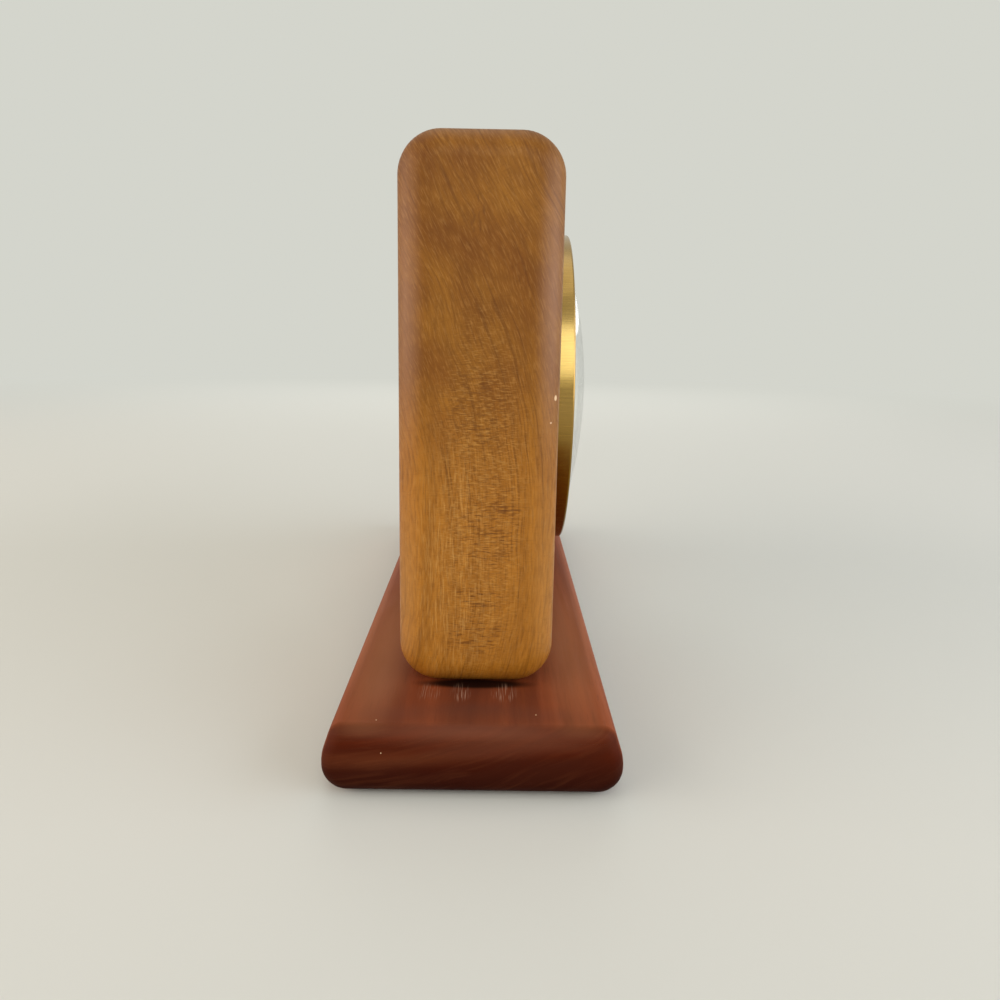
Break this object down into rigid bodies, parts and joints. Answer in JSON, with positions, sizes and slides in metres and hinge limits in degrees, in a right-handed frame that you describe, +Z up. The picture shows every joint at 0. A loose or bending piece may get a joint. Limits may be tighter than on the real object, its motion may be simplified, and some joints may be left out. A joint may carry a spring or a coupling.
{
  "type": "desk clock",
  "caption": "Wooden desk clock: an upright rounded block on a wider foot with rounded edges, with a round brass bezel, domed glass and a spring-driven movement.",
  "frame": {"origin": "centre of the underside, on the surface the clock stands on", "axes": "+Z up, +X along the clock's length, the dial faces -Y"},
  "size_m": [0.256, 0.0686, 0.1476],
  "materials": {
    "walnut": "satin oil finish",
    "mahogany": "satin oil finish",
    "felt": "pressed felt",
    "brass_brushed": "brushed and lacquered",
    "crystal_glass": "polished",
    "cream_plastic": "moulded",
    "dial_enamel": "satin paint",
    "brass_plate": "rolled sheet",
    "turned_steel": "turned",
    "blued_spring": "tempered",
    "zinc_sheet": "zinc plated",
    "black_hand": "satin paint",
    "brass_knob": "polished"
  },
  "bodies": {
    "case": {"case_block": "walnut", "foot": "mahogany", "felt_pad": "felt", "foot_screws": "turned_steel", "bezel": "brass_brushed", "glass": "crystal_glass", "sight_ring": "cream_plastic", "dial": "dial_enamel", "dial_feet": "brass_plate", "movement_can": "zinc_sheet", "rear_cover": "zinc_sheet", "clamp_ring": "zinc_sheet", "clamp_screws": "turned_steel", "cover_screws": "turned_steel", "front_plate": "brass_plate", "back_plate": "brass_plate", "frame_pillars": "turned_steel", "cover_posts": "brass_plate", "click_post": "turned_steel", "click_spring": "blued_spring", "click_spring_screw": "turned_steel", "minute_post": "turned_steel", "hairspring_stud": "turned_steel", "balance_screws": "turned_steel"},
    "hand_arbor": {"hand_arbor": "turned_steel", "cannon_pinion": "turned_steel", "clutch_spring": "blued_spring", "minute_hand": "black_hand", "hand_nut": "brass_plate", "set_knob": "brass_knob"},
    "hour_work": {"hour_wheel": "brass_plate", "hour_hand": "black_hand"},
    "minute_work": {"minute_wheel": "brass_plate", "minute_pinion": "turned_steel"},
    "centre_work": {"centre_wheel": "brass_plate", "centre_pinion": "turned_steel"},
    "second_work": {"second_wheel": "brass_plate", "second_pinion": "turned_steel"},
    "third_work": {"third_wheel": "brass_plate", "third_pinion": "turned_steel"},
    "fourth_work": {"fourth_wheel": "brass_plate", "fourth_pinion": "turned_steel"},
    "escape_work": {"escape_wheel": "brass_plate", "escape_pinion": "turned_steel"},
    "barrel_work": {"barrel": "brass_plate", "barrel_lid": "brass_plate", "mainspring": "blued_spring"},
    "winding_work": {"barrel_arbor": "turned_steel", "ratchet_wheel": "turned_steel", "winding_key": "brass_knob"},
    "click_work": {"click": "turned_steel"},
    "lever_work": {"pallet_lever": "turned_steel", "lever_arbor": "turned_steel"},
    "regulator_work": {"regulator": "turned_steel"},
    "balance_work": {"balance_wheel": "brass_plate", "balance_staff": "turned_steel", "hairspring": "blued_spring", "hairspring_collet": "brass_plate"}
  },
  "joints": [
    {"name": "hand_setting", "type": "hinge", "parent": "case", "child": "hand_arbor", "pos_m": [0, 0, 0.08235], "axis": [0, 1, 0], "continuous": true},
    {"name": "hour_turn", "type": "hinge", "parent": "case", "child": "hour_work", "pos_m": [0, 0, 0.08235], "axis": [0, 1, 0], "continuous": true},
    {"name": "minute_wheel_turn", "type": "hinge", "parent": "case", "child": "minute_work", "pos_m": [-0.00328, 0, 0.07333], "axis": [0, 1, 0], "continuous": true},
    {"name": "centre_turn", "type": "hinge", "parent": "case", "child": "centre_work", "pos_m": [0, 0, 0.08235], "axis": [0, 1, 0], "continuous": true},
    {"name": "second_turn", "type": "hinge", "parent": "case", "child": "second_work", "pos_m": [0.01233, 0, 0.07572], "axis": [0, 1, 0], "continuous": true},
    {"name": "third_turn", "type": "hinge", "parent": "case", "child": "third_work", "pos_m": [-0.01122, 0, 0.08883], "axis": [0, 1, 0], "continuous": true},
    {"name": "fourth_turn", "type": "hinge", "parent": "case", "child": "fourth_work", "pos_m": [-0.00578, 0, 0.09825], "axis": [0, 1, 0], "continuous": true},
    {"name": "escape_turn", "type": "hinge", "parent": "case", "child": "escape_work", "pos_m": [0.00414, 0, 0.1], "axis": [0, 1, 0], "continuous": true},
    {"name": "barrel_turn", "type": "hinge", "parent": "case", "child": "barrel_work", "pos_m": [0, 0, 0.06085], "axis": [0, 1, 0], "continuous": true},
    {"name": "winding", "type": "hinge", "parent": "case", "child": "winding_work", "pos_m": [0, 0, 0.06085], "axis": [0, 1, 0], "range_deg": [0, 1800]},
    {"name": "click_swing", "type": "hinge", "parent": "case", "child": "click_work", "pos_m": [0.00515, 0, 0.06977], "axis": [0, -1, 0], "range_deg": [0, 12], "stiffness_Nm_per_rad": 0.0001, "springref_deg": -5.73, "deforming": ["click_spring"]},
    {"name": "lever_swing", "type": "hinge", "parent": "case", "child": "lever_work", "pos_m": [0.01176, 0, 0.09645], "axis": [0, 1, 0], "range_deg": [-4, 4]},
    {"name": "regulator_swing", "type": "hinge", "parent": "case", "child": "regulator_work", "pos_m": [0.02232, 0, 0.09553], "axis": [0, 1, 0], "range_deg": [-15, 15]},
    {"name": "balance_swing", "type": "hinge", "parent": "case", "child": "balance_work", "pos_m": [0.02232, 0, 0.09553], "axis": [0, 1, 0], "range_deg": [-140, 140], "stiffness_Nm_per_rad": 0.000001}
  ],
  "couplings": [
    {"joint": "hour_turn", "follows": "hand_setting", "ratio": 0.083333},
    {"joint": "minute_wheel_turn", "follows": "hand_setting", "ratio": -0.33333},
    {"joint": "third_turn", "follows": "fourth_turn", "ratio": -0.13333},
    {"joint": "centre_turn", "follows": "fourth_turn", "ratio": 0.016667},
    {"joint": "second_turn", "follows": "fourth_turn", "ratio": -0.0027778},
    {"joint": "barrel_turn", "follows": "fourth_turn", "ratio": 0.00046296},
    {"joint": "escape_turn", "follows": "fourth_turn", "ratio": -8}
  ]
}
